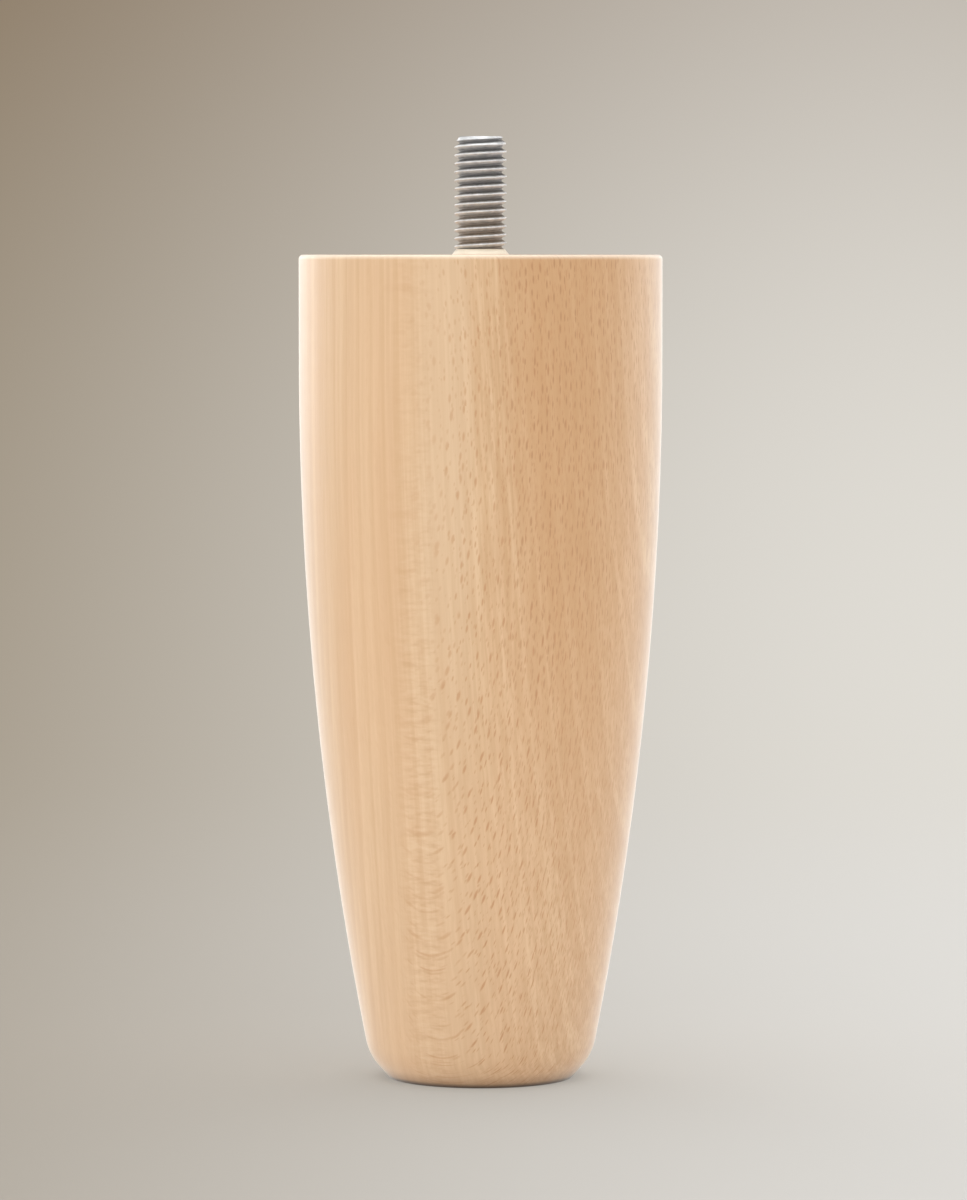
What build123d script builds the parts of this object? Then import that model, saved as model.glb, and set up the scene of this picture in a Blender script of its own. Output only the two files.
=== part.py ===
from build123d import *
from math import asin, degrees, radians, tan
import os

# A furniture leg turned from one piece of beech, with a steel hanger bolt driven into its top.
# Sizes are in millimetres. The leg stands on its foot at the origin, and its axis is +Z.

# Turned leg: a short cylinder at the top, then a side that draws in on one long arc to the foot
leg_height = 125.0
top_diameter = 55.0
top_edge_round = 0.7
straight_length = 16.0
sweep_foot_diameter = 32.6  # where the side would meet the floor if the foot had no bevel
sweep_spans = 2  # equal stretches that the long arc is drawn in

# Bevel round the foot, eased into the side and just broken at the flat that the leg stands on
bevel_height = 3.6
bevel_foot_diameter = 27.8
bevel_side_round = 8.0
bevel_foot_round = 0.4
bevel_round_share = 0.75  # most of the bevel's width that the round may take

# Lip of wood that the bolt has raised round itself
lip_height = 0.85
lip_top_width = 0.18
lip_base_width = 0.78

# Machine thread of the hanger bolt, drawn as a plain stud of the thread's outside diameter
thread_diameter = 7.9
thread_pitch = 1.25
crest_share = 0.325  # of the pitch, that rolling the thread raises its crests above the bare rod
stud_reach = 17.8  # from the top of the leg to the end of the stud
end_chamfer_width = 0.7
end_chamfer_length = 1.3
end_dish_diameter = 4.8
end_dish_depth = 0.25

# Plain shank and wood screw of the hanger bolt, the screw drawn as its core
shank_depth = 6.0  # from the top of the leg to the end of the shank
shank_taper_length = 0.8
screw_core_diameter = 5.6
screw_depth = 42.2  # from the top of the leg to the point
screw_point_length = 7.0

# Stepped pilot hole that the bolt is driven into
bore_clearance = 0.02
bore_end_room = 1.5  # from the bolt's point to the end of the hole's straight wall
drill_point_angle = 118.0

# Sizes that follow from those above
lip_top = leg_height + lip_height
stud_end = leg_height + stud_reach
shank_end = leg_height - shank_depth
taper_end = shank_end - shank_taper_length
screw_point = leg_height - screw_depth
stud_radius = thread_diameter / 2
shank_radius = stud_radius - crest_share * thread_pitch
core_radius = screw_core_diameter / 2
bore_radius = shank_radius + bore_clearance
pilot_radius = core_radius + bore_clearance


def turned(profile):
    """Solid of revolution about Z of a half profile drawn with X as radius and Y as height."""
    return revolve(Plane.XZ * profile, axis=Axis.Z)


def eased(profile, corner, radius):
    """The profile with the sharp corner that is nearest to a point rounded."""
    vertex = profile.vertices().sort_by_distance(corner)[0]
    return fillet(vertex, radius)


def leg_blank():
    """The leg as it leaves the lathe, with the lip round the bolt but no hole."""
    rim = (top_diameter / 2, leg_height)
    shoulder = (top_diameter / 2, leg_height - straight_length)
    bevel_foot = (bevel_foot_diameter / 2, 0)
    foot_centre = (0, 0)

    # The side leaves the cylinder without a corner and draws in steadily as far as the bevel
    draw_in = (top_diameter - sweep_foot_diameter) / 2
    drop = leg_height - straight_length
    side_radius = (drop**2 + draw_in**2) / (2 * draw_in)
    span_turn = degrees(asin((drop - bevel_height) / side_radius)) / sweep_spans
    side = [JernArc(shoulder, (0, -1), side_radius, -span_turn)]
    while len(side) < sweep_spans:
        side.append(JernArc(side[-1] @ 1, side[-1] % 1, side_radius, -span_turn))
    bevel_top = side[-1] @ 1
    bevel = Line(bevel_top, bevel_foot)

    lip = Polyline(
        (bore_radius + lip_base_width, leg_height),
        (bore_radius + lip_top_width, lip_top),
        (0, lip_top),
    )
    profile = make_face(
        [
            Line(rim, shoulder),
            *side,
            bevel,
            Line(bevel_foot, foot_centre),
            Line(foot_centre, lip @ 1),
            lip,
            Line(lip @ 0, rim),
        ]
    )

    # The round where the side meets the bevel stays within the bevel
    corner_turn = (bevel % 0).get_angle(side[-1] % 1)
    largest_round = bevel_round_share * bevel.length / tan(radians(corner_turn / 2))
    profile = eased(profile, bevel_top, min(bevel_side_round, largest_round))
    profile = eased(profile, bevel_foot, bevel_foot_round)
    profile = eased(profile, rim, top_edge_round)
    return turned(profile)


def pilot_hole():
    """The stepped hole, from the top of the lip to the cone that the drill leaves."""
    wall_end = screw_point - bore_end_room
    drill_cone = pilot_radius / tan(radians(drill_point_angle / 2))
    profile = make_face(
        Polyline(
            (0, lip_top),
            (bore_radius, lip_top),
            (bore_radius, shank_end - bore_clearance),
            (pilot_radius, taper_end - bore_clearance),
            (pilot_radius, wall_end),
            (0, wall_end - drill_cone),
            close=True,
        )
    )
    return turned(profile)


def hanger_bolt():
    """The bolt: chamfered and dished end, stud, plain shank, tapered step, screw core and point."""
    dish_edge = (end_dish_diameter / 2, stud_end)
    dish_centre = (0, stud_end - end_dish_depth)
    outline = Polyline(
        dish_edge,
        (stud_radius - end_chamfer_width, stud_end),
        (stud_radius, stud_end - end_chamfer_length),
        (stud_radius, lip_top),
        (shank_radius, lip_top),
        (shank_radius, shank_end),
        (core_radius, taper_end),
        (core_radius, screw_point + screw_point_length),
        (0, screw_point),
    )
    dish_radius = (dish_edge[0] ** 2 + end_dish_depth**2) / (2 * end_dish_depth)
    dish = RadiusArc(dish_centre, dish_edge, -dish_radius)
    axis = Line((0, screw_point), dish_centre)
    return turned(make_face([outline, axis, dish]))


turned_leg = leg_blank() - pilot_hole()
nodes = {"turned_leg": turned_leg, "hanger_bolt": hanger_bolt()}

os.makedirs("parts", exist_ok=True)
for name, solid in nodes.items():
    export_step(solid, f"parts/{name}.step")
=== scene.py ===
import bpy
import numpy as np
from math import cos, pi, radians, sin, tan
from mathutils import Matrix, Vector


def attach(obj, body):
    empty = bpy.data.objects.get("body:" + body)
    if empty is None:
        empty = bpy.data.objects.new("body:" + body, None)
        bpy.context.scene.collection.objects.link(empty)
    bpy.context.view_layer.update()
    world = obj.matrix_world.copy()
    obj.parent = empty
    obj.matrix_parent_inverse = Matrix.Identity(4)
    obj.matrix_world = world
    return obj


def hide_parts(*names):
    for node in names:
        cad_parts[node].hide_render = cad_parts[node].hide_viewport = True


# A furniture leg turned from beech, with a steel hanger bolt in its top.
# The leg stands on its foot at the origin. Sizes of the object are in millimetres, and those of the studio
# in metres, as Blender's own are.
MM = 0.001
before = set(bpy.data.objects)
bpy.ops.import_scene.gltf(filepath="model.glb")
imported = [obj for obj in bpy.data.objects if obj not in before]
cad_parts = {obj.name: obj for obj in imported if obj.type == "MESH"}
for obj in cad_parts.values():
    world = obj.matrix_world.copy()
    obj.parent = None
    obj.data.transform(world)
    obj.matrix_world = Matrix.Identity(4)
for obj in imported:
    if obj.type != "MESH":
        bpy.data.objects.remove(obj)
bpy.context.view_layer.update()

# Turned leg, as in the CAD source
LEG_HEIGHT = 125.0
TOP_RADIUS = 27.5
TOP_EDGE_ROUND = 0.7
STRAIGHT_LENGTH = 16.0
SWEEP_FOOT_RADIUS = 16.3
BEVEL_HEIGHT = 3.6
BEVEL_FOOT_RADIUS = 13.9
BEVEL_SIDE_ROUND = 8.0
BEVEL_FOOT_ROUND = 0.4
LEG_SEGMENTS = 256

# Lip of wood round the bolt, and how unevenly its edge is torn
LIP_HEIGHT = 0.85
LIP_TOP_WIDTH = 0.18
LIP_BASE_WIDTH = 0.78
LIP_TOP = LEG_HEIGHT + LIP_HEIGHT
LIP_SEED = 8
LIP_WAVES = (3, 5, 8, 13, 21, 34)  # waves round the lip
LIP_UNEVEN_INWARD = 0.05
LIP_UNEVEN_DOWN = 0.07

# Hanger bolt
STUD_END = 142.8
THREAD_RADIUS = 3.95
THREAD_PITCH = 1.25
THREAD_DEPTH = 0.767
THREAD_CREST_FLAT = THREAD_PITCH / 8
THREAD_CREST_ROUND = 0.05
THREAD_ROOT_ROUND = 0.14
THREAD_FRONT_CREST = 126.47  # height of the lowest crest on the side that faces -Y
FLANK_SLOPE = tan(radians(60))
END_CHAMFER_WIDTH = 0.7
END_CHAMFER_LENGTH = 1.3
END_DISH_RADIUS = 2.4
END_DISH_DEPTH = 0.25
SHANK_RADIUS = 3.54375
SHANK_END = 119.0
TAPER_END = 118.2
SCREW_CORE_RADIUS = 2.8
SCREW_CREST_RADIUS = 3.9
SCREW_PITCH = 3.0
SCREW_RIDGE_HALF_WIDTH = 0.55
SCREW_POINT = 82.8
SCREW_POINT_LENGTH = 7.0
BOLT_SEGMENTS = 128
THREAD_RINGS_PER_PITCH = 24
SCREW_RINGS_PER_PITCH = 12

# Stepped pilot hole in the leg
BORE_CLEARANCE = 0.02
BORE_END_ROOM = 1.5  # from the bolt's point to the end of the hole's straight wall
DRILL_POINT_ANGLE = 118
BORE_RADIUS = SHANK_RADIUS + BORE_CLEARANCE
PILOT_RADIUS = SCREW_CORE_RADIUS + BORE_CLEARANCE
PILOT_WALL_END = SCREW_POINT - BORE_END_ROOM
DRILL_CONE = PILOT_RADIUS / tan(radians(DRILL_POINT_ANGLE / 2))

# Camera, in metres, degrees and pixels of the photograph
IMAGE_HEIGHT = 1200
FOCAL_PIXELS = 6020
SENSOR_WIDTH = 36
CAMERA_DISTANCE = 0.912
CAMERA_HEIGHT = 0.125
CAMERA_SIDE = 0.00044
CAMERA_PITCH = 3.284

# The tree that the leg was cut from: where its pith lay, and how the grain leans in the leg
PITH_DISTANCE = 150.0
PITH_AZIMUTH = -102.5  # from -Y towards +X
GRAIN_LEAN = 0.055  # how far the grain leans towards the pith for each millimetre up
RING_WIDTH = 2.9
RING_WANDER = 0.8  # of a ring
OUT_TURN = radians(PITH_AZIMUTH + 180)

# Axes
RIGHT = (1.0, 0.0, 0.0)
BACK = (0.0, 1.0, 0.0)
UP = (0.0, 0.0, 1.0)
LEVEL = (1.0, 1.0, 0.0)
OUT_AXIS = (sin(OUT_TURN), -cos(OUT_TURN), 0.0)  # from the pith towards the bark
ROUND_AXIS = (cos(OUT_TURN), sin(OUT_TURN), 0.0)


def rgb(red, green, blue):
    """A colour with full alpha."""
    return (red, green, blue, 1.0)


# Colours of the beech
STREAK_DARK = rgb(0.640, 0.418, 0.236)
STREAK_PALE = rgb(0.706, 0.490, 0.296)
LINE_DARK = rgb(0.547, 0.332, 0.167)
LINE_PALE = rgb(0.84, 0.64, 0.42)
FIBRE_DARK = rgb(0.547, 0.322, 0.157)
TONE_WARM = rgb(0.703, 0.441, 0.250)
LATE_WOOD = rgb(0.547, 0.317, 0.146)
EARLY_WOOD = rgb(0.790, 0.584, 0.363)
ZONE_DARK = rgb(0.566, 0.322, 0.151)
BAND_PALE = rgb(0.760, 0.600, 0.420)
RAY_DARK = rgb(0.500, 0.240, 0.100)
SMALL_RAY_DARK = rgb(0.500, 0.250, 0.110)
BARK_RAY_DARK = rgb(0.480, 0.250, 0.110)
RIPPLE_DARK = rgb(0.52, 0.29, 0.14)
RIPPLE_PALE = rgb(0.80, 0.62, 0.42)
END_GRAIN_DARK = rgb(0.34, 0.19, 0.095)
# Painted highlight along the rounded top edge
TOP_EDGE_PAINTED_HIGHLIGHT = rgb(0.90, 0.80, 0.67)
LIP_PALE = rgb(0.92, 0.84, 0.68)
# Painted light that makes the wood paler towards the foot
FOOT_PAINTED_LIGHT = rgb(0.900, 0.800, 0.680)
# Painted shade round the foot's rim: brown, then dark where it meets the floor
FOOT_PAINTED_SHADE_BROWN = rgb(0.30, 0.17, 0.09)
FOOT_PAINTED_SHADE_DARK = rgb(0.08, 0.045, 0.025)

# Colours of the zinc, and of the painted shade in the thread, brown near the wood as a painted reflection
# of it
ZINC_DARK = rgb(0.66, 0.68, 0.70)
ZINC_PALE = rgb(0.86, 0.875, 0.89)
ZINC_SPECK = rgb(0.36, 0.36, 0.36)
PAINTED_WOOD_REFLECTION = rgb(0.20, 0.145, 0.09)
PAINTED_THREAD_SHADE = rgb(0.075, 0.072, 0.07)

# Colours of the studio
# Painted shade on the paper: its darker tone to the left and the tone it takes higher up
PAPER_PAINTED_SHADE = rgb(0.325, 0.269, 0.197)
PAPER_PALE = rgb(0.750, 0.725, 0.673)
PAPER_PAINTED_SHADE_UP = rgb(0.141, 0.061, 0.0)
PAPER_LIT = rgb(0.95, 0.935, 0.915)
PAPER_LAMP_SHARE = (0.70, 0.725, 0.78)
STUDIO_AIR = rgb(0.65, 0.64, 0.625)


def new_object(name, mesh):
    """An object of a mesh, in the scene."""
    piece = bpy.data.objects.new(name, mesh)
    bpy.context.scene.collection.objects.link(piece)
    return piece


def lathe_faces(rings, segments):
    """Faces between the rings of a lathe mesh, and between its end rings and the poles."""
    faces = []
    for ring in range(rings - 1):
        for segment in range(segments):
            after = (segment + 1) % segments
            low = ring * segments
            high = low + segments
            faces.append((low + segment, low + after, high + after, high + segment))
    first_pole = rings * segments
    last_pole = first_pole + 1
    last_ring = (rings - 1) * segments
    for segment in range(segments):
        after = (segment + 1) % segments
        faces.append((first_pole, after, segment))
        faces.append((last_pole, last_ring + segment, last_ring + after))
    return faces


def closed_lathe_mesh(name, radii, heights, first_pole, last_pole):
    """Closed mesh from grids of radii and heights, a row for each ring, between two poles' heights."""
    rings, segments = radii.shape
    angle = np.arange(segments) * 2 * pi / segments
    x = radii * np.cos(angle)
    y = radii * np.sin(angle)
    z = np.broadcast_to(heights, radii.shape)
    grid = np.stack([x, y, z], axis=-1).reshape(-1, 3)
    poles = np.array([[0, 0, first_pole], [0, 0, last_pole]])
    points = np.vstack([grid, poles]) * MM
    mesh = bpy.data.meshes.new(name)
    mesh.from_pydata(points.tolist(), [], lathe_faces(rings, segments))
    mesh.validate()
    return mesh


def smooth_shaded(mesh, sharp_angle):
    """The mesh shaded smooth, with its sharper edges kept crisp."""
    mesh.shade_smooth()
    mesh.set_sharp_from_angle(angle=radians(sharp_angle))
    return mesh


def spread(start, end, count):
    """Points from a start to an end, both of them included."""
    return [tuple(p) for p in np.linspace(start, end, count)]


def rounded(before, corner, after, radius, count):
    """Points of the arc that rounds the corner between two straight lines."""
    corner = np.array(corner, float)
    into = np.array(before, float) - corner
    out = np.array(after, float) - corner
    into /= np.linalg.norm(into)
    out /= np.linalg.norm(out)
    half = np.arccos(np.clip(into @ out, -1, 1)) / 2
    centre = corner + (into + out) / np.linalg.norm(into + out) * radius / sin(half)
    start = corner + into * radius / tan(half) - centre
    end = corner + out * radius / tan(half) - centre
    sweep = pi - 2 * half
    weights = np.linspace(0, 1, count)
    arc = [(sin((1 - w) * sweep) * start + sin(w * sweep) * end) / sin(sweep) + centre for w in weights]
    return [tuple(p) for p in arc]


def leg_side():
    """The long arc from the end of the cylinder to where it would meet the bevel."""
    draw_in = TOP_RADIUS - SWEEP_FOOT_RADIUS
    drop = LEG_HEIGHT - STRAIGHT_LENGTH
    radius = (drop**2 + draw_in**2) / (2 * draw_in)
    depths = np.linspace(0, drop - BEVEL_HEIGHT, 90)
    return [(TOP_RADIUS - radius + (radius**2 - d**2) ** 0.5, drop - d) for d in depths]


def leg_profile():
    """Half profile of the leg, from the bottom of its bore, over the top and down to the foot."""
    rim = (TOP_RADIUS, LEG_HEIGHT)
    bevel_foot = (BEVEL_FOOT_RADIUS, 0)
    side = leg_side()
    bevel_top = side[-1]
    side_round = rounded(side[-2], bevel_top, bevel_foot, BEVEL_SIDE_ROUND, 14)
    side = [p for p in side if p[1] > side_round[0][1] + 0.5]
    foot_round = rounded(bevel_top, bevel_foot, (0, 0), BEVEL_FOOT_ROUND, 8)
    top_round = rounded((0, LEG_HEIGHT), rim, (TOP_RADIUS, 0), TOP_EDGE_ROUND, 10)

    # Rings near the lip and the rounds keep the shading of the flats even
    near_lip = (5.2, LEG_HEIGHT)
    near_rim = (TOP_RADIUS - TOP_EDGE_ROUND - 0.4, LEG_HEIGHT)
    below_rim = (TOP_RADIUS, LEG_HEIGHT - 1.5)
    cylinder_end = (TOP_RADIUS, LEG_HEIGHT - STRAIGHT_LENGTH + 1)
    near_foot_edge = (BEVEL_FOOT_RADIUS - 1.2, 0)
    foot_middle = (2.0, 0)
    return [
        *spread((PILOT_RADIUS, PILOT_WALL_END), (PILOT_RADIUS, TAPER_END - BORE_CLEARANCE), 8),
        *spread((BORE_RADIUS, SHANK_END - BORE_CLEARANCE), (BORE_RADIUS, LIP_TOP), 5),
        *spread((BORE_RADIUS + LIP_TOP_WIDTH, LIP_TOP), (BORE_RADIUS + LIP_BASE_WIDTH, LEG_HEIGHT), 8),
        *spread(near_lip, near_rim, 10),
        *top_round,
        *spread(below_rim, cylinder_end, 8),
        *side,
        *side_round,
        *foot_round,
        *spread(near_foot_edge, foot_middle, 6),
    ]


def uneven_lip(radii, heights):
    """Frays the lip of wood round the bolt, so that its edge rises and falls a little."""
    rng = np.random.default_rng(LIP_SEED)
    segments = radii.shape[1]
    angle = np.arange(segments) * 2 * pi / segments
    waves = sum(np.sin(n * angle + rng.uniform(0, 2 * pi)) / n**0.5 for n in LIP_WAVES)
    waves /= np.abs(waves).max()
    lip = (heights > LEG_HEIGHT + 0.01) & (radii > BORE_RADIUS + 0.01)
    share = np.where(lip, (heights - LEG_HEIGHT) / LIP_HEIGHT, 0)
    outward = np.where(lip, LIP_UNEVEN_INWARD * (waves - 1), 0)
    return radii + outward * share, heights + share * LIP_UNEVEN_DOWN * (waves - 1)


def make_leg():
    """The turned leg as one closed mesh, standing for the CAD node."""
    profile = np.array(leg_profile())
    radii = np.repeat(profile[:, :1], LEG_SEGMENTS, axis=1)
    heights = np.repeat(profile[:, 1:], LEG_SEGMENTS, axis=1)
    radii, heights = uneven_lip(radii, heights)
    mesh = closed_lathe_mesh("turned_beech_leg", radii, heights, PILOT_WALL_END - DRILL_CONE, 0)
    mesh.flip_normals()
    leg = new_object("turned_beech_leg", smooth_shaded(mesh, sharp_angle=40))
    leg.data.materials.append(beech_material())
    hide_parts("turned_leg")
    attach(leg, "root")


def soft_limit(value, limit, blend):
    """The value, eased into a limit that it doesn't pass."""
    share = np.clip(0.5 + 0.5 * (limit - value) / blend, 0, 1)
    return limit * (1 - share) + value * share - blend * share * (1 - share)


def machine_thread(angle, height):
    """Radius of the right-hand M8 thread, with its crests and roots rounded as rolling leaves them."""
    turns = (height - THREAD_FRONT_CREST) / THREAD_PITCH - (angle + pi / 2) / (2 * pi)
    from_crest = np.abs(turns - np.round(turns)) * THREAD_PITCH
    depth = (from_crest - THREAD_CREST_FLAT / 2) * FLANK_SLOPE
    depth = soft_limit(depth, THREAD_DEPTH, THREAD_ROOT_ROUND)
    depth = -soft_limit(-depth, 0, THREAD_CREST_ROUND)
    into_chamfer = (height - STUD_END + END_CHAMFER_LENGTH) / END_CHAMFER_LENGTH
    chamfer = THREAD_RADIUS - END_CHAMFER_WIDTH * into_chamfer
    return np.minimum(THREAD_RADIUS - depth, chamfer)


def wood_screw(angle, height):
    """Radius of the bolt's wood screw, whose core and ridge run out in a point."""
    turns = height / SCREW_PITCH - angle / (2 * pi)
    from_ridge = np.abs(turns - np.round(turns)) * SCREW_PITCH
    ridge = np.clip(1 - from_ridge / SCREW_RIDGE_HALF_WIDTH, 0, 1)
    ridge *= SCREW_CREST_RADIUS - SCREW_CORE_RADIUS
    to_point = np.clip((height - SCREW_POINT) / SCREW_POINT_LENGTH, 0, 1)
    run_out = np.clip((TAPER_END - height) / SCREW_PITCH, 0, 1)
    return SCREW_CORE_RADIUS * to_point + ridge * np.minimum(to_point, run_out)


def bolt_rings():
    """Heights of the bolt's rings, close together along its threads."""
    screw_step = SCREW_PITCH / SCREW_RINGS_PER_PITCH
    thread_step = THREAD_PITCH / THREAD_RINGS_PER_PITCH
    above_point = SCREW_POINT + 0.15
    under_thread = LIP_TOP - 0.02
    screw = np.arange(above_point, TAPER_END, screw_step)
    shank = np.array([TAPER_END, SHANK_END, 121.0, 123.0, LEG_HEIGHT, under_thread])
    thread = np.linspace(LIP_TOP, STUD_END, round((STUD_END - LIP_TOP) / thread_step))
    return screw, shank, thread


def bolt_radii(screw, shank, thread):
    """Radius of every point of the bolt's grid, ring by ring."""
    angle = np.arange(BOLT_SEGMENTS) * 2 * pi / BOLT_SEGMENTS
    shank_radii = np.full((len(shank), BOLT_SEGMENTS), SHANK_RADIUS)
    shank_radii[0] = SCREW_CORE_RADIUS
    rows = [wood_screw(angle[None, :], screw[:, None]), shank_radii]
    rows.append(machine_thread(angle[None, :], thread[:, None]))
    return np.vstack(rows)


def dished_end():
    """Rings of the shallow dish in the stud's end."""
    radii = np.array([2.9, END_DISH_RADIUS, 2.0, 1.5, 1.0, 0.5])
    dish = END_DISH_DEPTH * (1 - (radii / END_DISH_RADIUS) ** 2)
    return radii, STUD_END - np.where(radii < END_DISH_RADIUS, dish, 0)


def make_bolt():
    """The hanger bolt as one closed mesh, standing for the CAD node."""
    screw, shank, thread = bolt_rings()
    end_radii, end_heights = dished_end()
    end_rows = np.repeat(end_radii[:, None], BOLT_SEGMENTS, axis=1)
    radii = np.vstack([bolt_radii(screw, shank, thread), end_rows])
    heights = np.concatenate([screw, shank, thread, end_heights])[:, None]
    mesh = closed_lathe_mesh("zinc_hanger_bolt", radii, heights, SCREW_POINT, STUD_END - END_DISH_DEPTH)
    bolt = new_object("zinc_hanger_bolt", smooth_shaded(mesh, sharp_angle=50))
    bolt.data.materials.append(zinc_material())
    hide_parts("hanger_bolt")
    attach(bolt, "root")


class Graph:
    """Short calls that build one node tree."""

    def __init__(self, name):
        self.material = bpy.data.materials.new(name)
        self.material.use_nodes = True
        self.tree = self.material.node_tree
        self.tree.nodes.clear()

    def node(self, kind, **settings):
        """A new node with its settings."""
        node = self.tree.nodes.new(kind)
        for key, value in settings.items():
            setattr(node, key, value)
        return node

    def feed(self, socket, value):
        """Links an output to a socket, or sets the socket's own value."""
        if isinstance(value, bpy.types.NodeSocket):
            self.tree.links.new(value, socket)
        elif value is not None:
            socket.default_value = value

    def math(self, operation, first, second=None):
        """One step of arithmetic."""
        node = self.node("ShaderNodeMath", operation=operation)
        self.feed(node.inputs[0], first)
        self.feed(node.inputs[1], second)
        return node.outputs[0]

    def product(self, first, *others):
        """The product of several values."""
        for other in others:
            first = self.math("MULTIPLY", first, other)
        return first

    def vector(self, operation, first, second=None, scale=None):
        """One step of vector arithmetic."""
        node = self.node("ShaderNodeVectorMath", operation=operation)
        self.feed(node.inputs[0], first)
        self.feed(node.inputs[1], second)
        self.feed(node.inputs[3], scale)
        single = operation in ("DOT_PRODUCT", "LENGTH")
        return node.outputs["Value"] if single else node.outputs["Vector"]

    def joined(self, x, y, z):
        """A vector from its three parts."""
        node = self.node("ShaderNodeCombineXYZ")
        for socket, value in zip(node.inputs, (x, y, z)):
            self.feed(socket, value)
        return node.outputs[0]

    def position(self):
        """Place on the object, in millimetres."""
        coordinates = self.node("ShaderNodeTexCoord")
        return self.vector("SCALE", coordinates.outputs["Object"], scale=1 / MM)

    def remap(self, value, low, high, to_low=0.0, to_high=1.0):
        """The value eased from one range into another."""
        node = self.node("ShaderNodeMapRange", interpolation_type="SMOOTHSTEP")
        for socket, part in zip(node.inputs, (value, low, high, to_low, to_high)):
            self.feed(socket, part)
        return node.outputs[0]

    def noise(self, vector, detail=2.0, roughness=0.5):
        """Soft noise from 0 to 1, and three of them as a colour."""
        node = self.node("ShaderNodeTexNoise")
        self.feed(node.inputs["Vector"], vector)
        node.inputs["Scale"].default_value = 1.0
        node.inputs["Detail"].default_value = detail
        node.inputs["Roughness"].default_value = roughness
        return node.outputs["Fac"], node.outputs["Color"]

    def mix(self, share, first, second):
        """Two colours mixed."""
        node = self.node("ShaderNodeMix", data_type="RGBA", blend_type="MIX")
        self.feed(node.inputs["Factor"], share)
        self.feed(node.inputs[6], first)
        self.feed(node.inputs[7], second)
        return node.outputs[2]

    def bump(self, height, distance):
        """A normal that follows a height."""
        node = self.node("ShaderNodeBump")
        node.inputs["Strength"].default_value = 1.0
        node.inputs["Distance"].default_value = distance
        self.feed(node.inputs["Height"], height)
        return node.outputs["Normal"]

    def mixed_shader(self, share, first, second):
        """Two shaders mixed."""
        node = self.node("ShaderNodeMixShader")
        for socket, value in zip(node.inputs, (share, first, second)):
            self.feed(socket, value)
        return node.outputs[0]

    def surface(self, **values):
        """The shader, with values or links for its named sockets."""
        shader = self.node("ShaderNodeBsdfPrincipled")
        for name, value in values.items():
            self.feed(shader.inputs[name.replace("_", " ")], value)
        output = self.node("ShaderNodeOutputMaterial")
        self.tree.links.new(shader.outputs[0], output.inputs["Surface"])


class WoodGraph(Graph):
    """The node tree of wood cut from one log, with the places that its layers follow, in millimetres."""

    def __init__(self, name):
        super().__init__(name)
        self.radial, self.around, self.along = self.grain_coordinates()
        self.from_axis = self.math("SUBTRACT", self.radial, PITH_DISTANCE)
        self.place = self.position()
        self.height = self.vector("DOT_PRODUCT", self.place, UP)
        self.to_bark = self.vector("DOT_PRODUCT", self.place, OUT_AXIS)
        self.colour = None

    def grain_coordinates(self):
        """Distance from the pith, distance round it and height along the grain."""
        place = self.position()
        wander_place = self.vector("MULTIPLY", place, (0.016, 0.016, 0.011))
        wander = self.vector("SUBTRACT", self.noise(wander_place, detail=1.0)[1], (0.5, 0.5, 0.5))
        place = self.vector("ADD", place, self.vector("SCALE", wander, scale=3.0))
        along = self.vector("DOT_PRODUCT", place, UP)
        out = self.vector("DOT_PRODUCT", place, OUT_AXIS)
        lean = self.product(along, self.remap(out, -22.0, 8.0, 0.0, GRAIN_LEAN))
        out = self.math("ADD", self.math("ADD", out, lean), PITH_DISTANCE)
        sideways = self.vector("DOT_PRODUCT", place, ROUND_AXIS)
        radial = self.vector("LENGTH", self.joined(out, sideways, 0.0))
        around = self.product(self.math("ARCTAN2", sideways, out), PITH_DISTANCE)
        return radial, around, along

    def wood_place(self, radial, around, along):
        """The grain's coordinates divided by a length for each direction."""
        return self.joined(
            self.math("DIVIDE", self.around, around),
            self.math("DIVIDE", self.along, along),
            self.math("DIVIDE", self.radial, radial),
        )

    def grain_noise(self, radial, around, along, detail=2.0, roughness=0.5):
        """Soft noise with a size for each direction of the grain."""
        place = self.wood_place(radial, around, along)
        return self.noise(place, detail=detail, roughness=roughness)[0]

    def ray_cells(self, cell, size, shift):
        """Share from 0 to 1 of the wood's rays, which are flat spindles: one in each cell, with its sizes.

        Sizes are those around the pith, along the grain and out from the pith.
        """
        offset = (shift, shift * 1.7, shift * 0.6)
        place = self.vector("ADD", self.wood_place(around=cell[0], along=cell[1], radial=cell[2]), offset)
        cells = self.node("ShaderNodeTexVoronoi", voronoi_dimensions="3D", feature="F1")
        cells.inputs["Scale"].default_value = 1.0
        cells.inputs["Randomness"].default_value = 0.85
        self.feed(cells.inputs["Vector"], place)
        from_centre = self.vector("SUBTRACT", place, cells.outputs["Position"])
        stretch = (cell[0] / size[0], cell[1] / size[1], cell[2] / size[2])
        reach = self.vector("LENGTH", self.vector("MULTIPLY", from_centre, stretch))
        chance = self.vector("DOT_PRODUCT", cells.outputs["Color"], RIGHT)
        reach = self.math("DIVIDE", reach, self.remap(chance, 0.0, 1.0, 0.6, 1.25))
        return self.remap(reach, 0.35, 1.0, 1.0, 0.0)

    def paint(self, share, colour):
        """Mixes a share of a colour over what is there."""
        self.colour = self.mix(share, self.colour, colour)


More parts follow.
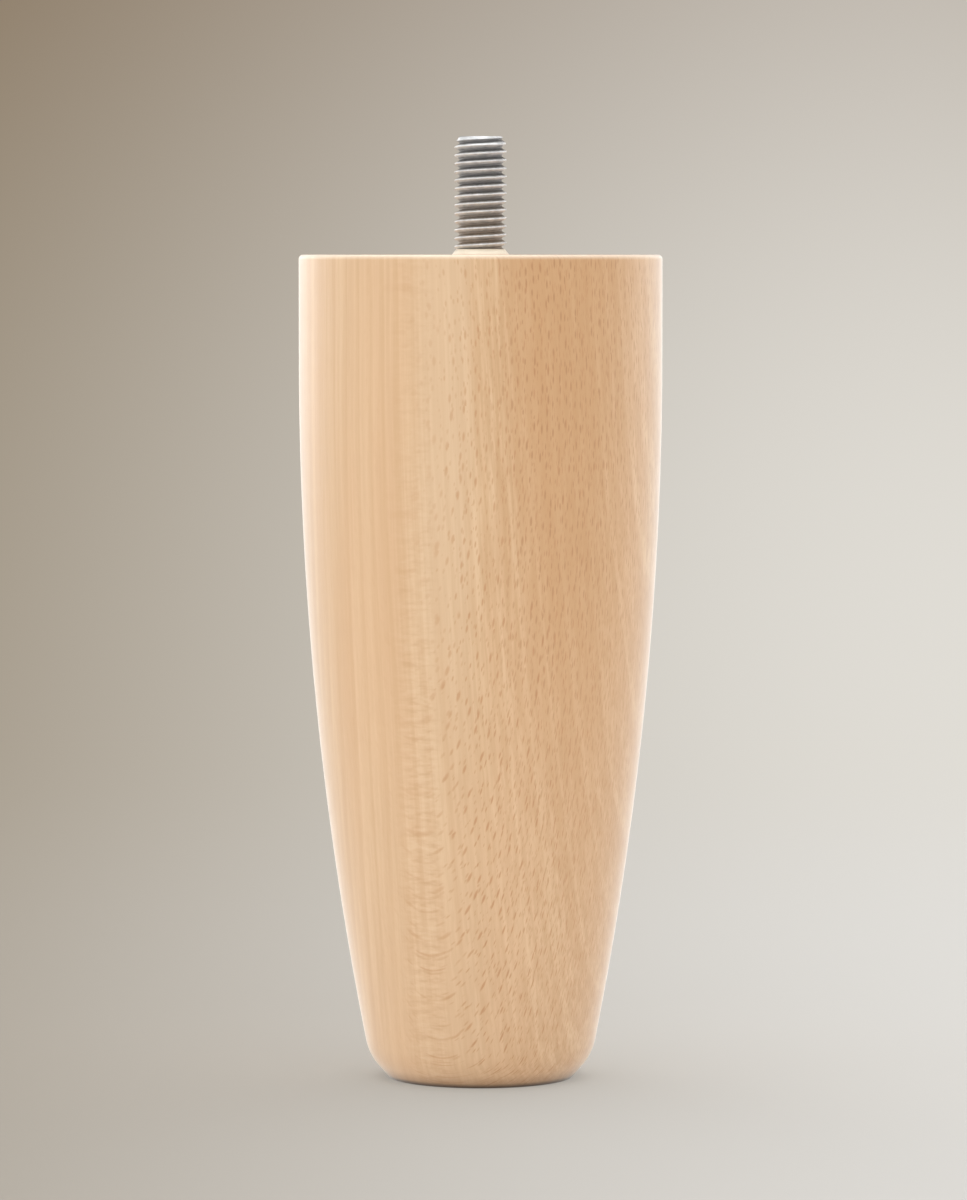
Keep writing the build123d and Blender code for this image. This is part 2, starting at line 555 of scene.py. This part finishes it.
def paint_fibres(g):
    """Streaks, lines and fibres along the grain, and slow changes of tone. Gives the fibres."""
    streaks = g.grain_noise(radial=1.3, around=8.0, along=110.0, detail=3.0, roughness=0.65)
    lines = g.grain_noise(radial=0.5, around=1.2, along=14.0, roughness=0.6)
    fibres = g.grain_noise(radial=0.25, around=0.25, along=7.0, roughness=0.6)
    tone = g.grain_noise(radial=14.0, around=14.0, along=120.0)
    g.colour = g.mix(g.remap(streaks, 0.3, 0.7), STREAK_DARK, STREAK_PALE)
    line_share = g.remap(g.to_bark, -5.0, 12.0, 0.12, 0.62)
    g.paint(g.product(g.remap(lines, 0.4, 0.64), line_share), LINE_DARK)
    fibre_share = g.remap(g.to_bark, 4.0, 14.0, 0.12, 0.38)
    g.paint(g.product(g.remap(fibres, 0.3, 0.7), fibre_share), FIBRE_DARK)
    pale_share = g.remap(g.to_bark, 0.0, 12.0, 0.0, 0.35)
    towards_top = g.remap(g.height, 40.0, 110.0, 0.4, 1.0)
    g.paint(g.product(g.remap(lines, 0.46, 0.3), pale_share, towards_top), LINE_PALE)
    g.paint(g.remap(tone, 0.35, 0.65, 0.0, 0.3), TONE_WARM)
    return fibres


def paint_rings(g):
    """Growth rings: each darkens slowly and ends against a thin pale line."""
    wander = g.grain_noise(radial=9.0, around=30.0, along=110.0, detail=1.0)
    rings = g.math("ADD", g.math("DIVIDE", g.from_axis, RING_WIDTH), g.product(wander, RING_WANDER))
    above_nought = g.math("ADD", rings, 100.0)
    ring_share = g.math("FRACT", above_nought)
    late = g.product(g.remap(ring_share, 0.3, 0.9), g.remap(ring_share, 0.9, 0.97, 1.0, 0.0))
    early = g.product(g.remap(ring_share, 0.0, 0.04), g.remap(ring_share, 0.08, 0.2, 1.0, 0.0))
    g.paint(g.product(late, 0.2), LATE_WOOD)
    g.paint(g.product(early, g.remap(g.to_bark, -2.0, 20.0, 0.05, 0.3)), EARLY_WOOD)


def paint_zones(g):
    """A broad darker zone of the trunk, a paler band beside it, and painted light that makes the wood
    paler towards the foot.
    """
    end_lean = g.product(g.math("SUBTRACT", g.height, 115.0), 0.08)
    zone_end = g.math("SUBTRACT", g.from_axis, end_lean)
    zone = g.product(g.remap(g.from_axis, 13.5, 22.0), g.remap(zone_end, 27.0, 36.5, 1.0, 0.0))
    g.paint(g.product(zone, g.remap(g.along, 0.0, 110.0, 0.32, 0.78)), ZONE_DARK)
    band = g.product(g.remap(g.to_bark, -6.0, -1.0), g.remap(g.to_bark, 2.5, 6.5, 1.0, 0.0))
    g.paint(g.product(band, g.remap(g.height, 35.0, 90.0, 0.05, 0.28)), BAND_PALE)
    # Painted light: the wood is lightened towards the foot
    g.paint(g.remap(g.height, 10.0, 80.0, 0.05, 0.0), FOOT_PAINTED_LIGHT)


def paint_rays(g):
    """Rays: dashes where they are cut across, ladders where they are cut along. Gives the largest."""
    rays = g.ray_cells(cell=(0.62, 2.1, 14.0), size=(0.076, 0.9, 12.0), shift=0.0)
    small_rays = g.ray_cells(cell=(0.4, 1.25, 9.0), size=(0.055, 0.56, 7.0), shift=31.0)
    bark_rays = g.ray_cells(cell=(0.6, 2.0, 14.0), size=(0.1, 0.85, 12.0), shift=57.0)
    pith_side = g.remap(g.to_bark, -25.0, -17.0, 0.5, 0.0)
    depth = g.math("MAXIMUM", g.remap(g.to_bark, -7.0, 6.0, 0.1, 1.0), pith_side)
    depth = g.product(depth, g.remap(g.height, 30.0, 110.0, 1.0, 0.7))
    ladder = g.product(g.remap(g.to_bark, -9.5, -4.5), g.remap(g.height, 15.0, 60.0, 0.55, 0.25))
    depth = g.math("MAXIMUM", depth, ladder)
    bark_depth = g.product(g.remap(g.to_bark, 4.0, 14.0), g.remap(g.height, 20.0, 110.0, 0.38, 1.0))
    g.paint(g.product(bark_rays, bark_depth), BARK_RAY_DARK)
    g.paint(g.product(rays, depth, 0.75), RAY_DARK)
    g.paint(g.product(small_rays, depth, 0.55), SMALL_RAY_DARK)
    return rays


def paint_ripples(g):
    """Fine ripples between the ladder's rungs."""
    ripple = g.grain_noise(radial=3.0, around=5.0, along=0.75, roughness=0.6)
    on_ladder = g.product(g.remap(g.to_bark, -9.0, -4.5), g.remap(g.to_bark, -2.5, 0.0, 1.0, 0.0))
    on_ladder = g.product(on_ladder, g.remap(g.height, 20.0, 110.0, 1.0, 0.35))
    g.paint(g.product(on_ladder, 0.34, g.remap(ripple, 0.5, 0.68)), RIPPLE_DARK)
    g.paint(g.product(on_ladder, 0.24, g.remap(ripple, 0.5, 0.32)), RIPPLE_PALE)


def paint_ends(g):
    """Darker end grain, a painted highlight on the top edge, a pale lip of torn fibres, and painted shade
    on the rim under the foot.
    """
    normal = g.node("ShaderNodeNewGeometry").outputs["Normal"]
    facing = g.math("ABSOLUTE", g.vector("DOT_PRODUCT", normal, UP))
    g.paint(g.remap(facing, 0.85, 1.0, 0.0, 0.45), END_GRAIN_DARK)
    # Painted highlight: a pale line on the rounded top edge
    top_edge_highlight_share = g.remap(g.height, LEG_HEIGHT - 0.9, LEG_HEIGHT - 0.1, 0.0, 0.55)
    g.paint(g.product(top_edge_highlight_share, g.remap(facing, 0.8, 0.97, 1.0, 0.0)), TOP_EDGE_PAINTED_HIGHLIGHT)
    g.paint(g.remap(g.height, LEG_HEIGHT, LEG_HEIGHT + 0.2, 0.0, 0.85), LIP_PALE)
    # Painted shade: a brown and a dark ring round the foot's rim, darkest at the floor
    radius = g.vector("LENGTH", g.vector("MULTIPLY", g.place, LEVEL))
    rim = g.remap(radius, BEVEL_FOOT_RADIUS - 2.2, BEVEL_FOOT_RADIUS - 0.5)
    g.paint(g.product(rim, g.remap(g.height, 0.3, 2.3, 0.42, 0.0)), FOOT_PAINTED_SHADE_BROWN)
    g.paint(g.product(rim, g.remap(g.height, 0.15, 0.85, 0.9, 0.0)), FOOT_PAINTED_SHADE_DARK)


def beech_material():
    """Steamed beech under satin lacquer, whose grain is cut from one solid block."""
    g = WoodGraph("beech")
    fibres = paint_fibres(g)
    paint_rings(g)
    paint_zones(g)
    rays = paint_rays(g)
    paint_ripples(g)
    paint_ends(g)
    polish = g.noise(g.vector("SCALE", g.place, scale=0.25), detail=3.0)[0]
    relief = g.math("SUBTRACT", fibres, g.product(rays, 0.5))
    g.surface(
        Base_Color=g.colour,
        Roughness=g.remap(polish, 0.2, 0.8, 0.42, 0.52),
        Coat_Weight=0.2,
        Coat_Roughness=0.3,
        Sheen_Weight=0.85,
        Sheen_Roughness=0.36,
        Normal=g.bump(relief, 0.012 * MM),
    )
    return g.material


def painted_thread_shade(g, place, height, specks):
    """Share of painted shade in the thread's grooves, most of all just above each crest."""
    depth = g.vector("DOT_PRODUCT", place, BACK)
    side = g.vector("DOT_PRODUCT", place, RIGHT)
    turn = g.math("DIVIDE", g.math("ARCTAN2", depth, side), 2 * pi)
    turns = g.math("SUBTRACT", g.math("DIVIDE", height, THREAD_PITCH), turn)

    # A crest lies half way through each turn, and 100 more turns keep the count above nought
    turns = g.math("SUBTRACT", turns, THREAD_FRONT_CREST / THREAD_PITCH + 0.25 - 100.5)
    turns = g.math("ADD", turns, g.remap(specks, 0.3, 0.7, -0.05, 0.05))
    from_crest = g.math("SUBTRACT", g.math("FRACT", turns), 0.5)
    # Painted shade just above each crest and down its lower flank
    above = g.remap(from_crest, 0.06, 0.26)
    below = g.remap(from_crest, -0.5, -0.2, 0.85, 0.0)
    on_thread = g.remap(height, LIP_TOP - 0.1, LIP_TOP)
    return g.product(g.math("MAXIMUM", above, below), g.remap(specks, 0.25, 0.7, 0.75, 0.98), on_thread)


def zinc_material():
    """Bright zinc plating, a little blotched, with painted shade down in the thread, brown near the wood
    as a painted reflection of it.
    """
    g = Graph("zinc_plating")
    place = g.position()
    height = g.vector("DOT_PRODUCT", place, UP)
    blotches = g.noise(g.vector("SCALE", place, scale=0.9), detail=4.0, roughness=0.6)[0]
    specks = g.noise(g.vector("SCALE", place, scale=5.0), detail=3.0, roughness=0.7)[0]
    colour = g.mix(g.remap(blotches, 0.3, 0.7), ZINC_DARK, ZINC_PALE)
    colour = g.mix(g.remap(specks, 0.5, 0.75, 0.0, 0.25), colour, ZINC_SPECK)
    above_wood = g.remap(height, LEG_HEIGHT + 1.0, STUD_END - 6.0)
    # Painted shade in the grooves, brown near the wood as a painted reflection of it
    thread_shade_colour = g.mix(above_wood, PAINTED_WOOD_REFLECTION, PAINTED_THREAD_SHADE)
    colour = g.mix(painted_thread_shade(g, place, height, specks), colour, thread_shade_colour)
    roughness = g.remap(blotches, 0.25, 0.75, 0.38, 0.55)
    g.surface(Base_Color=colour, Metallic=0.5, Roughness=roughness, Normal=g.bump(specks, 0.02 * MM))
    return g.material


def paper_tone(g, side, depth, height, away):
    """The paper's tone with painted shade: darker in a fan to the left and up behind, plain away from the
    view.
    """
    fan = g.math("DIVIDE", side, g.math("MAXIMUM", g.math("ADD", depth, 2.6), 1.0))
    fan = g.product(fan, g.remap(away, 0.16, 0.6, 1.0, 0.0))
    fan = g.math("ADD", fan, g.remap(away, 0.16, 0.6, 0.0, 0.03))
    # Painted shade: the paper darkens in a fan to the left and higher up
    tone = g.mix(g.remap(fan, -0.071, 0.045), PAPER_PAINTED_SHADE, PAPER_PALE)
    shade_upward = g.product(g.remap(height, 0.0, 0.35, 0.0, 0.54), g.remap(fan, 0.0, 0.045, 1.0, 0.88))
    return g.mix(shade_upward, tone, PAPER_PAINTED_SHADE_UP)


def paper_as_seen(g, tone, depth, away, clear):
    """What the camera and reflections see: the paper's tone, partly lit by the lamps near the leg."""
    glow = g.node("ShaderNodeEmission")
    g.feed(glow.inputs["Color"], tone)
    glow.inputs["Strength"].default_value = 1.0
    toned = g.node("ShaderNodeBsdfDiffuse")
    g.feed(toned.inputs["Color"], g.vector("MULTIPLY", tone, PAPER_LAMP_SHARE))
    seen = g.mixed_shader(g.remap(depth, 0.1, 0.6, 0.45, 0.0), glow.outputs[0], toned.outputs[0])
    return g.mixed_shader(g.remap(away, 0.7, 2.0), seen, clear.outputs[0])


def paper_material():
    """Matt studio paper, which fades from sight far from the leg and is seen through from below."""
    g = Graph("studio_paper")
    place = g.vector("SCALE", g.position(), scale=MM)
    side = g.vector("DOT_PRODUCT", place, RIGHT)
    depth = g.vector("DOT_PRODUCT", place, BACK)
    height = g.vector("DOT_PRODUCT", place, UP)
    beside = g.math("SUBTRACT", g.math("ABSOLUTE", side), 0.15)
    away = g.math("MAXIMUM", g.product(depth, -1.0), beside)
    tone = paper_tone(g, side, depth, height, away)

    clear = g.node("ShaderNodeBsdfTransparent")
    seen = paper_as_seen(g, tone, depth, away, clear)
    lit = g.node("ShaderNodeBsdfDiffuse")
    lit.inputs["Color"].default_value = PAPER_LIT
    path = g.node("ShaderNodeLightPath")
    looks = g.math("MAXIMUM", path.outputs["Is Camera Ray"], path.outputs["Is Glossy Ray"])
    looks = g.math("MAXIMUM", looks, path.outputs["Is Transmission Ray"])
    paper = g.mixed_shader(looks, lit.outputs[0], seen)
    below = g.node("ShaderNodeNewGeometry").outputs["Backfacing"]
    output = g.node("ShaderNodeOutputMaterial")
    g.feed(output.inputs["Surface"], g.mixed_shader(below, paper, clear.outputs[0]))
    return g.material


def make_stage():
    """The pale floor, which sweeps up behind the leg without a corner."""
    half_width = 4.0
    front = -4.0
    bend_start = 0.5
    bend = 1.6
    top = 3.5
    turn = np.linspace(0, pi / 2, 40)
    depth = np.concatenate([[front], bend_start + bend * np.sin(turn), [bend_start + bend]])
    height = np.concatenate([[0.0], bend - bend * np.cos(turn), [top]])
    rows = [[(x, y, z) for x in (-half_width, half_width)] for y, z in zip(depth, height)]
    points = [p for row in rows for p in row]
    faces = [(2 * i, 2 * i + 1, 2 * i + 3, 2 * i + 2) for i in range(len(rows) - 1)]
    mesh = bpy.data.meshes.new("studio_floor")
    mesh.from_pydata(points, [], faces)
    mesh.shade_smooth()
    floor = new_object("studio_floor", mesh)
    floor.data.materials.append(paper_material())


def softbox(name, azimuth, distance, height, size, brightness):
    """A large soft lamp that faces the leg, out of sight. Its azimuth is from -Y towards +X."""
    lamp = bpy.data.lights.new(name, "AREA")
    lamp.shape = "RECTANGLE"
    lamp.size, lamp.size_y = size
    lamp.energy = brightness * pi * size[0] * size[1]
    holder = bpy.data.objects.new(name, lamp)
    holder.visible_camera = False
    bpy.context.scene.collection.objects.link(holder)
    turn = radians(azimuth)
    place = Vector((distance * sin(turn), -distance * cos(turn), height))
    leg_middle = Vector((0, 0, 0.07))
    holder.location = place
    holder.rotation_euler = (leg_middle - place).to_track_quat("-Z", "Y").to_euler()


def make_lights():
    """Soft studio light all round, strongest from the left, behind and above."""
    world = bpy.data.worlds.new("studio")
    world.use_nodes = True
    background = world.node_tree.nodes["Background"]
    background.inputs["Color"].default_value = STUDIO_AIR
    background.inputs["Strength"].default_value = 1.0
    bpy.context.scene.world = world
    softbox("left_light", azimuth=-72, distance=1.2, height=0.25, size=(1.3, 0.6), brightness=0.76)
    softbox("left_back_light", azimuth=-140, distance=1.2, height=0.2, size=(1.0, 0.6), brightness=2.0)
    softbox("right_back_light", azimuth=126, distance=1.2, height=0.2, size=(1.3, 0.6), brightness=0.85)
    softbox("top_light", azimuth=180, distance=0.25, height=1.2, size=(1.3, 1.3), brightness=2.5)
    softbox("front_top_light", azimuth=0, distance=0.75, height=0.95, size=(0.9, 0.6), brightness=1.6)


def make_camera():
    """The photograph's view: level with the leg's top and nearly a metre away."""
    camera = bpy.data.cameras.new("camera")
    camera.sensor_width = SENSOR_WIDTH
    camera.lens = SENSOR_WIDTH * FOCAL_PIXELS / IMAGE_HEIGHT
    camera.clip_start = 0.01
    holder = bpy.data.objects.new("camera", camera)
    bpy.context.scene.collection.objects.link(holder)
    holder.location = (CAMERA_SIDE, -CAMERA_DISTANCE, CAMERA_HEIGHT)
    holder.rotation_euler = (radians(90 - CAMERA_PITCH), 0, 0)
    bpy.context.scene.camera = holder


bpy.context.scene.view_settings.view_transform = "Standard"
make_camera()
make_lights()
make_stage()
make_leg()
make_bolt()
